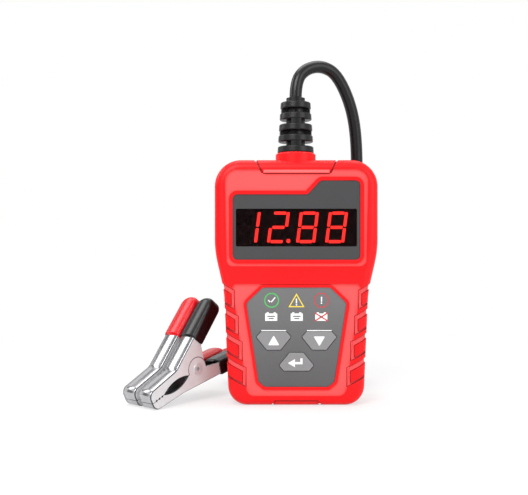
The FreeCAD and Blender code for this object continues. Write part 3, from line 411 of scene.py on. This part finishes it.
def lit_material(name, colour, strength):
    material, tree, shader = new_material(name)
    finish_surface(tree, shader, MOULDED, colour, 0.002, Grain_Size=3000.0, Roughness=0.5, Spread=0.1)
    glow = node(tree, "ShaderNodeTexNoise", {"Vector": node(tree, "ShaderNodeTexCoord").outputs["Object"],
                                             "Scale": 500.0})
    mix = colour_step(tree, glow.outputs["Fac"], colour, tuple(min(1.0, c * 1.25 + 0.012) for c in colour))
    tree.links.new(mix, shader.inputs["Emission Color"])
    shader.inputs["Emission Strength"].default_value = strength
    return material


def lens_material():
    material, tree, shader = new_material("smoked_lens")
    smear = node(tree, "ShaderNodeTexNoise", {"Vector": node(tree, "ShaderNodeTexCoord").outputs["Object"],
                                              "Scale": 60.0})
    gloss = node(tree, "ShaderNodeMapRange", {0: smear.outputs["Fac"], 3: 0.02, 4: 0.06})
    tree.links.new(gloss.outputs[0], shader.inputs["Roughness"])
    shader.inputs["Base Color"].default_value = (0.62, 0.44, 0.44, 1)
    shader.inputs["Transmission Weight"].default_value = 1.0
    shader.inputs["IOR"].default_value = 1.46
    shader.inputs["Specular IOR Level"].default_value = 0.2
    return material


def ink(name, colour):
    return moulded(name, colour, 0.5, grain=9000.0, depth=0.002)


def make_materials():
    return {
        "case": case_material(),
        "lens": lens_material(),
        "film": moulded("film_grey", (0.050, 0.050, 0.052), 0.4, grain=7000.0, depth=0.003, specular=0.3),
        "display": moulded("display_face", (0.010, 0.002, 0.003), 0.6, specular=0.2),
        "lit": lit_material("segment_lit", (1.0, 0.03, 0.022), 1.9),
        "unlit": moulded("segment_unlit", (0.020, 0.003, 0.004), 0.6, specular=0.2),
        "overlay": overlay_material(),
        "key": moulded("key_grey", (0.23, 0.23, 0.235), 0.42, grain=6000.0, depth=0.006, specular=0.35),
        "black_plastic": moulded("plastic_black", (0.012, 0.012, 0.013), 0.42),
        "board": moulded("solder_mask", (0.012, 0.12, 0.04), 0.32),
        "ceramic": moulded("ceramic_white", (0.72, 0.72, 0.69), 0.6),
        "nylon": moulded("nylon_cream", (0.72, 0.67, 0.55), 0.48),
        "can": plated("can_metal", (0.66, 0.66, 0.68), 0.32),
        "zinc": plated("zinc_screw", (0.58, 0.58, 0.6), 0.3),
        "rubber": moulded("relief_rubber", BLACK, 0.34, grain=2600.0, depth=0.02, spread=0.14, specular=0.29),
        "jacket": moulded("jacket_black", BLACK, 0.3, grain=3000.0, depth=0.02, spread=0.14, specular=0.3),
        "red_jacket": moulded("jacket_red", (0.62, 0.012, 0.014), 0.42, grain=3000.0, depth=0.02, spread=0.14),
        "black_nickel": stamped("nickel_black_clip", "black"),
        "red_nickel": stamped("nickel_red_clip", "red"),
        "rivet": plated("rivet_steel", (0.56, 0.56, 0.57), 0.3, metallic=0.3),
        "spring": plated("spring_wire", (0.55, 0.55, 0.57), 0.25),
        "tinned": plated("tinned_copper", (0.72, 0.66, 0.56), 0.35),
        "red_sleeve": dipped("sleeve_red", (0.66, 0.004, 0.010), "red"),
        "black_sleeve": dipped("sleeve_black", BLACK, "black"),
        "white_ink": ink("ink_white", (0.80, 0.80, 0.80)),
        "green_ink": ink("ink_green", (0.05, 0.52, 0.09)),
        "yellow_ink": ink("ink_yellow", (0.82, 0.62, 0.05)),
        "red_ink": ink("ink_red", (0.56, 0.03, 0.03)),
        "dark_ink": ink("ink_dark", (0.06, 0.06, 0.062)),
    }


MATERIALS = make_materials()

NODE_FINISH = {
    "front_shell": "case", "rear_shell": "case", "display_lens": "lens", "display_film": "film",
    "led_display": "display", "lit_segments": "lit", "dark_segments": "unlit", "keypad_overlay": "overlay",
    "up_key": "key", "down_key": "key", "enter_key": "key", "up_plunger": "black_plastic",
    "down_plunger": "black_plastic", "enter_plunger": "black_plastic", "tact_switches": "black_plastic",
    "lamp_leds": "nylon", "main_board": "board", "board_screws": "zinc", "case_screws": "zinc",
    "controller_chip": "black_plastic", "load_resistors": "ceramic", "capacitor": "can", "wire_header": "nylon",
    "inner_wire_red": "red_jacket", "inner_wire_black": "jacket", "strain_relief": "rubber", "main_cable": "jacket",
    "cable_coil": "jacket", "cable_tail": "jacket", "coil_tie": "black_plastic", "lead_split": "rubber",
    "red_lead": "red_jacket", "black_lead": "jacket",
}
CLIP_FINISH = {"upper_arm": "{}_nickel", "lower_arm": "{}_nickel", "pivot_rivet": "rivet", "spring": "spring",
               "lead_lug": "tinned"}


def dress_nodes():
    for name, item in nodes.items():
        finish = NODE_FINISH.get(name)
        if finish is None:
            colour, part = name.split("_clip_")
            finish = CLIP_FINISH.get(part, "{}_sleeve").format(colour)
        item.data.materials.clear()
        item.data.materials.append(MATERIALS[finish])


def mesh_piece(name, bm, material):
    mesh = bpy.data.meshes.new(name)
    bm.to_mesh(mesh)
    bm.free()
    mesh.materials.append(material)
    piece = bpy.data.objects.new(name, mesh)
    scene.collection.objects.link(piece)
    return piece


# Cords: the points of a route are the control points of one smooth line
COIL_CENTRE = (-5.0, 56.0)
COIL_RADIUS = 32.0
COIL_PITCH = 6.7
COIL_TURNS = 4.5
COIL_STEPS = 16
COIL_Z = 4.45
# The left half is a little flatter, so that it stays behind the case
COIL_FLAT = 0.955

# Strap of the coil: its span from the coil's middle and from the floor
STRAP_ANGLE = math.radians(120)
STRAP_SPAN = (14.2, 34.7, 0.95, 14.7)
STRAP_WIDTH = 6.0
STRAP_WALL = 0.7
STRAP_CORNER = 1.6


def coil_point(turns):
    """Place on the coil after so many turns: inwards on the lower layer, outwards on the upper one."""
    middle = COIL_TURNS / 2
    radius = COIL_RADIUS - COIL_PITCH * (middle - abs(turns - middle))
    climb = min(max((turns - middle + 0.25) / 0.5, 0.0), 1.0)
    climb = climb * climb * (3 - 2 * climb)
    angle = math.radians(-90 - 360 * turns)
    across = radius * math.cos(angle)
    if across < 0:
        across *= COIL_FLAT
    return (COIL_CENTRE[0] + across, COIL_CENTRE[1] + radius * math.sin(angle), COIL_Z + COIL_PITCH * climb)


CABLE_START = [
    (0.0, -1.5, 151.5), (0.0, -1.5, 160.0), (5.0, 1.6, 167.0), (13.4, 5.6, 169.6), (21.8, 9.4, 166.0),
    (29.9, 14.4, 150.0), (33.0, 18.4, 131.0), (33.0, 20.4, 105.0), (32.8, 21.2, 66.0), (30.6, 21.2, 36.0),
    (25.0, 20.8, 19.0), (14.0, 20.8, 7.4), (4.5, 23.2, 4.6),
]
CABLE_END = [
    (3.0, 88.4, 11.1), (11.0, 89.5, 8.8), (19.0, 90.5, 6.2), (28.4, 86.4, 4.6),
    (34.0, 76.6, 4.0), (34.0, 69.0, 4.0),
]
BLACK_ROUTE = [
    (37.0, 49.0, 4.0), (37.0, 41.3, 4.0), (32.3, 33.2, 6.4), (24.2, 28.5, 10.6), (13.4, 30.2, 16.0),
    (3.0, 35.0, 19.0), (-8.0, 38.0, 19.2), (-24.67, 30.75, 21.73), (-30.61, 24.38, 19.47),
]
RED_ROUTE = [
    (31.0, 49.0, 4.0), (31.0, 42.9, 4.0), (27.9, 37.6, 6.2), (22.6, 34.2, 11.0), (13.4, 36.0, 18.2),
    (3.0, 41.4, 20.4), (-8.5, 46.6, 20.2), (-20.5, 47.6, 19.8), (-33.45, 38.94, 21.73), (-39.39, 32.56, 19.47),
]


def add_cord(name, points, diameter, material):
    data = bpy.data.curves.new(name, "CURVE")
    data.dimensions = "3D"
    data.bevel_depth = diameter / 2 * MM
    data.bevel_resolution = 6
    data.resolution_u = 6
    data.use_fill_caps = True
    spline = data.splines.new("NURBS")
    spline.points.add(len(points) - 1)
    for control, place in zip(spline.points, points):
        control.co = (*(Vector(place) * MM), 1.0)
    spline.order_u = 3
    spline.use_endpoint_u = True
    data.materials.append(material)
    cord = bpy.data.objects.new(name, data)
    scene.collection.objects.link(cord)
    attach(cord, "tester")
    return cord


def clip_nodes(colour):
    """CAD pieces of a clip that show: all but its spring, which a copy stands for."""
    return [item for name, item in nodes.items() if name.startswith(colour + "_clip_") and not name.endswith("_spring")]


def add_spring(colour):
    """Copy of a clip's spring with the spring finish, which hides the CAD spring."""
    source = nodes[colour + "_clip_spring"]
    mesh = source.data.copy()
    mesh.name = colour + "_spring_wire"
    mesh.transform(source.matrix_world)
    mesh.materials.clear()
    mesh.materials.append(MATERIALS["spring"])
    wire = bpy.data.objects.new(colour + "_spring_wire", mesh)
    scene.collection.objects.link(wire)
    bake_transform(wire)
    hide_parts(colour + "_clip_spring")
    return wire


def add_tie():
    """Strap round the coil's strands, a third of the way round from its right side."""
    inner, outer, low, high = STRAP_SPAN
    middle = ((inner + outer) / 2, 0.0, (low + high) / 2)
    size = (outer - inner, STRAP_WIDTH, high - low)
    place = (Matrix.Translation(Vector((*COIL_CENTRE, 0)) * MM) @ Matrix.Rotation(STRAP_ANGLE, 4, "Z")
             @ Matrix.Translation(Vector(middle) * MM) @ Matrix.Diagonal((*(Vector(size) * MM), 1)))
    bm = bmesh.new()
    bmesh.ops.create_cube(bm, size=1.0)
    ends = [face for face in bm.faces if abs(face.normal.y) > 0.5]
    bmesh.ops.delete(bm, geom=ends, context="FACES_ONLY")
    bmesh.ops.transform(bm, matrix=place, verts=bm.verts[:])
    corners = [edge for edge in bm.edges if len(edge.link_faces) == 2]
    bmesh.ops.bevel(bm, geom=corners, offset=STRAP_CORNER * MM, offset_type="OFFSET", segments=6, profile=0.5,
                    affect="EDGES", material=-1)
    bmesh.ops.recalc_face_normals(bm, faces=bm.faces[:])
    bmesh.ops.solidify(bm, geom=bm.faces[:], thickness=-STRAP_WALL * MM)
    bmesh.ops.recalc_face_normals(bm, faces=bm.faces[:])
    strap = mesh_piece("cable_strap", bm, MATERIALS["black_plastic"])
    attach(strap, "tester")
    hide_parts("coil_tie")
    return strap


def add_cords():
    strap = add_tie()
    steps = int(COIL_TURNS * COIL_STEPS)
    coil = [coil_point(COIL_TURNS * index / steps) for index in range(steps + 1)]
    cable = add_cord("cable", CABLE_START + coil + CABLE_END, 6.2, MATERIALS["jacket"])
    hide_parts("main_cable", "cable_coil", "cable_tail")
    for colour, route, finish in (("black", BLACK_ROUTE, "jacket"), ("red", RED_ROUTE, "red_jacket")):
        lead = add_cord(colour + "_clip_lead", route, 3.4, MATERIALS[finish])
        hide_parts(colour + "_lead")
        clip_nodes(colour) + [add_spring(colour)]


# Printed signs: thin ink shapes on the keypad and the keys, and two white bars over the keys that are a painted
# highlight. Each shape is a function that draws it at a depth
def sign_place(x, y, z, turn):
    scale = Matrix.Diagonal((MM, MM, MM, 1))
    return (Matrix.Translation(Vector((x, y, z)) * MM) @ Matrix.Rotation(math.radians(90), 4, "X")
            @ Matrix.Rotation(math.radians(turn), 4, "Z") @ scale)


def disc(x, z, radius, sides=40, turn=0.0, soften=0.0):
    def make(bm, y):
        made = bmesh.ops.create_circle(bm, cap_ends=True, segments=sides, radius=radius,
                                       matrix=sign_place(x, y, z, turn))
        if soften:
            bmesh.ops.bevel(bm, geom=made["verts"], offset=soften * MM, offset_type="OFFSET", segments=4, profile=0.5,
                            affect="VERTICES", material=-1)
    return make


def ring(x, z, outer, inner, sides=48, turn=0.0):
    def make(bm, y):
        edges = []
        for radius in (outer, inner):
            made = bmesh.ops.create_circle(bm, segments=sides, radius=radius, matrix=sign_place(x, y, z, turn))
            edges += list({edge for vert in made["verts"] for edge in vert.link_edges})
        bmesh.ops.bridge_loops(bm, edges=edges)
    return make


def bar(x, z, length, width, turn=0.0):
    def make(bm, y):
        size = Matrix.Diagonal((length, width, 1, 1))
        bmesh.ops.create_grid(bm, x_segments=1, y_segments=1, size=0.5, matrix=sign_place(x, y, z, turn) @ size)
    return make


def add_sign(name, body, y, material, shapes):
    bm = bmesh.new()
    for shape in shapes:
        shape(bm, y + 0.01)
    made = bmesh.ops.extrude_face_region(bm, geom=bm.faces[:])
    moved = [item for item in made["geom"] if isinstance(item, bmesh.types.BMVert)]
    bmesh.ops.translate(bm, verts=moved, vec=(0, -INK * MM, 0))
    bmesh.ops.recalc_face_normals(bm, faces=bm.faces[:])
    sign = mesh_piece(name, bm, material)
    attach(sign, body)
    return sign


def digit(letters, left):
    """Leaning bars of one digit, as the letters a to g name them."""
    inset, middle, centre = DIGIT_BAR / 2, DIGIT_HIGH / 2, DIGIT_WIDE / 2
    right, low, high = DIGIT_WIDE - inset, middle / 2, middle * 1.5
    tall, wide = middle - 0.7, DIGIT_WIDE - 2 * DIGIT_BAR - 0.3
    bars = {
        "a": (centre, DIGIT_HIGH - inset, wide, DIGIT_BAR), "g": (centre, middle, wide, DIGIT_BAR),
        "d": (centre, inset, wide, DIGIT_BAR),
        "b": (right, high, DIGIT_BAR, tall), "c": (right, low, DIGIT_BAR, tall),
        "e": (inset, low, DIGIT_BAR, tall), "f": (inset, high, DIGIT_BAR, tall),
    }
    lean = Matrix(((1, DIGIT_LEAN, 0, 0), (0, 1, 0, 0), (0, 0, 1, 0), (0, 0, 0, 1)))

    def make(bm, y):
        for letter in letters:
            x, z, length, width = bars[letter]
            place = sign_place(left, y, DIGIT_LOW, 0.0) @ lean @ Matrix.Translation((x, z, 0))
            made = bmesh.ops.create_grid(bm, x_segments=1, y_segments=1, size=0.5,
                                         matrix=place @ Matrix.Diagonal((length, width, 1, 1)))
            bmesh.ops.bevel(bm, geom=made["verts"], offset=0.45 * MM, offset_type="OFFSET", segments=2, profile=0.5,
                            affect="VERTICES", material=-1)
    return make


def add_digits():
    shapes = [digit(letters, DIGIT_FIRST + DIGIT_PITCH * index) for index, letters in enumerate(DIGITS)]
    shapes.append(disc(-3.9, DIGIT_LOW + 1.1, 1.0))
    lit = add_sign("digit_bars", "tester", DISPLAY_Y, MATERIALS["lit"], shapes)
    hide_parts("lit_segments", "dark_segments")


def battery(x, z):
    """Box of a battery with its two poles."""
    return [bar(x, z - 0.3, 5.9, 3.6), bar(x - 1.7, z + 1.75, 1.1, 0.6), bar(x + 1.7, z + 1.75, 1.1, 0.6)]


def add_signs():
    good, caution, bad = SIGN_X
    add_sign("sign_good", "tester", OVERLAY_Y, MATERIALS["green_ink"], [ring(good, SIGN_Z, 3.6, 3.12)])
    add_sign("sign_caution", "tester", OVERLAY_Y, MATERIALS["yellow_ink"], [ring(caution, 50.3, 4.5, 3.5, 3)])
    add_sign("sign_bad", "tester", OVERLAY_Y, MATERIALS["red_ink"], [ring(bad, SIGN_Z, 3.8, 3.35, 8, 22.5)])
    marks = [bar(-13.0, 50.75, 2.0, 0.55, -45), bar(-11.5, 51.45, 3.6, 0.55, 50)]
    for x, z in ((caution, 51.1), (bad, 51.9)):
        marks += [bar(x, z, 0.6, 2.4), disc(x, z - 1.9, 0.38, 16)]
    for x in BATTERY_X:
        marks += battery(x, BATTERY_Z)
    # White bars along the top edges of the up and down keys: painted highlight of the raised key edges, drawn in white
    # ink
    marks += [bar(x, 36.65, 12.0, 0.5) for x in (-KEY_X, KEY_X)]
    add_sign("sign_marks", "tester", OVERLAY_Y, MATERIALS["white_ink"], marks)
    on_ink = OVERLAY_Y - 0.05
    lines = [bar(x, 43.6, 3.6, 0.5) for x in BATTERY_X[:2]] + [bar(x, 42.5, 2.4, 0.5) for x in BATTERY_X[:2]]
    add_sign("sign_lines", "tester", on_ink, MATERIALS["dark_ink"], lines)
    cross = [bar(BATTERY_X[2], 43.3, 7.4, 0.6, turn) for turn in (32, -32)]
    add_sign("sign_cross", "tester", on_ink, MATERIALS["red_ink"], cross)
    white = MATERIALS["white_ink"]
    add_sign("up_mark", "up_button", KEY_Y, white, [disc(-KEY_X, 31.2, 3.2, 3, 0.0, 0.6)])
    add_sign("down_mark", "down_button", KEY_Y, white, [disc(KEY_X, 32.3, 3.2, 3, 180, 0.6)])
    arrow = [bar(1.1, 20.9, 3.7, 1.1), bar(2.4, 22.35, 1.1, 1.8), disc(-1.9, 20.9, 2.3, 3, 90)]
    add_sign("enter_mark", "enter_button", KEY_Y, white, arrow)


# Studio: white surroundings, a floor that keeps the shadow, soft lamps. Its sizes and places are in metres
def seen_rays(tree):
    """One for the rays that show the surroundings: straight, mirrored or through the lens."""
    rays = node(tree, "ShaderNodeLightPath").outputs
    seen = math_node(tree, "MAXIMUM", rays["Is Camera Ray"], rays["Is Glossy Ray"])
    return math_node(tree, "MAXIMUM", seen, rays["Is Transmission Ray"])


def white_surroundings():
    world = bpy.data.worlds.new("studio")
    scene.world = world
    world.use_nodes = True
    tree = world.node_tree
    strength = node(tree, "ShaderNodeMapRange", {0: seen_rays(tree), 3: 0.55, 4: 1.0})
    background = tree.nodes["Background"]
    background.inputs["Color"].default_value = (1, 1, 1, 1)
    tree.links.new(strength.outputs[0], background.inputs["Strength"])


def add_plane(name, size, place, turn, material):
    bm = bmesh.new()
    bmesh.ops.create_grid(bm, x_segments=1, y_segments=1, size=0.5, matrix=Matrix.Translation(place) @ turn
                          @ Matrix.Diagonal((*size, 1, 1)))
    mesh_piece(name, bm, material)


def add_card(name, size, place, aim, material):
    turn = (Vector(aim) - Vector(place)).to_track_quat("Z", "Y").to_matrix().to_4x4()
    add_plane(name, size, Vector(place), turn, material)


def floor_material():
    """Matt white that keeps the shadow near the tester and fades into the white surroundings."""
    material, tree, shader = new_material("floor_white")
    place = node(tree, "ShaderNodeTexCoord").outputs["Object"]
    away = node(tree, "ShaderNodeVectorMath", {0: place}, operation="LENGTH").outputs["Value"]
    fade = node(tree, "ShaderNodeMapRange", {0: away, 1: 0.12, 2: 0.34, 3: 0.62, 4: 1.0},
                interpolation_type="SMOOTHSTEP")
    share = math_node(tree, "MULTIPLY", seen_rays(tree), fade.outputs[0])
    glow = node(tree, "ShaderNodeEmission", {"Color": (1, 1, 1, 1), "Strength": 1.0})
    matt = node(tree, "ShaderNodeBsdfDiffuse", {"Color": (0.86, 0.86, 0.86, 1)})
    mix = node(tree, "ShaderNodeMixShader", {0: share, 1: matt.outputs[0], 2: glow.outputs[0]})
    tree.nodes.remove(shader)
    tree.links.new(mix.outputs[0], tree.nodes["Material Output"].inputs["Surface"])
    return material


def add_lamp(name, place, aim, size, power):
    data = bpy.data.lights.new(name, "AREA")
    data.shape = "RECTANGLE"
    data.size = size[0]
    data.size_y = size[1]
    data.energy = power
    lamp = bpy.data.objects.new(name, data)
    lamp.location = place
    lamp.rotation_euler = (Vector(aim) - Vector(place)).to_track_quat("-Z", "Y").to_euler()
    scene.collection.objects.link(lamp)


def add_studio():
    white_surroundings()
    add_plane("floor", (8.0, 8.0), Vector((0, 0, -0.0001)), Matrix.Identity(4), floor_material())
    dark = moulded("card_grey", (0.03, 0.03, 0.03), 0.8)
    add_card("card_front", (0.24, 0.30), (0.02, -0.62, 0.22), (0.02, 0.0, 0.22), dark)
    add_card("card_back", (0.14, 0.2), (-0.42, 0.35, 0.28), CARD_AIM, dark)
    add_card("card_high", (0.28, 0.15), (-0.30, -0.13, 0.43), CARD_AIM, dark)
    add_card("card_low", (0.3, 0.17), (-0.42, -0.04, 0.09), CARD_AIM, dark)
    grey = moulded("card_pale", (0.22, 0.22, 0.22), 0.8)
    add_card("card_above", (0.17, 0.15), (-0.24, 0.32, 0.40), CARD_AIM, grey)
    add_lamp("key_lamp", (-0.28, -0.62, 0.62), (-0.02, 0.0, 0.07), (0.45, 0.45), 5.5)
    add_lamp("strip_lamp", (-0.43, 0.12, 0.37), CARD_AIM, (0.2, 0.26), 0.6)
    add_lamp("fill_lamp", (0.55, -0.5, 0.35), (0.0, 0.0, 0.07), (0.4, 0.6), 2.0)
    add_lamp("top_lamp", (0.0, 0.15, 0.75), (0.0, 0.03, 0.0), (0.6, 0.4), 2.5)


add_camera()
add_cords()
dress_nodes()
add_signs()
add_digits()
add_studio()
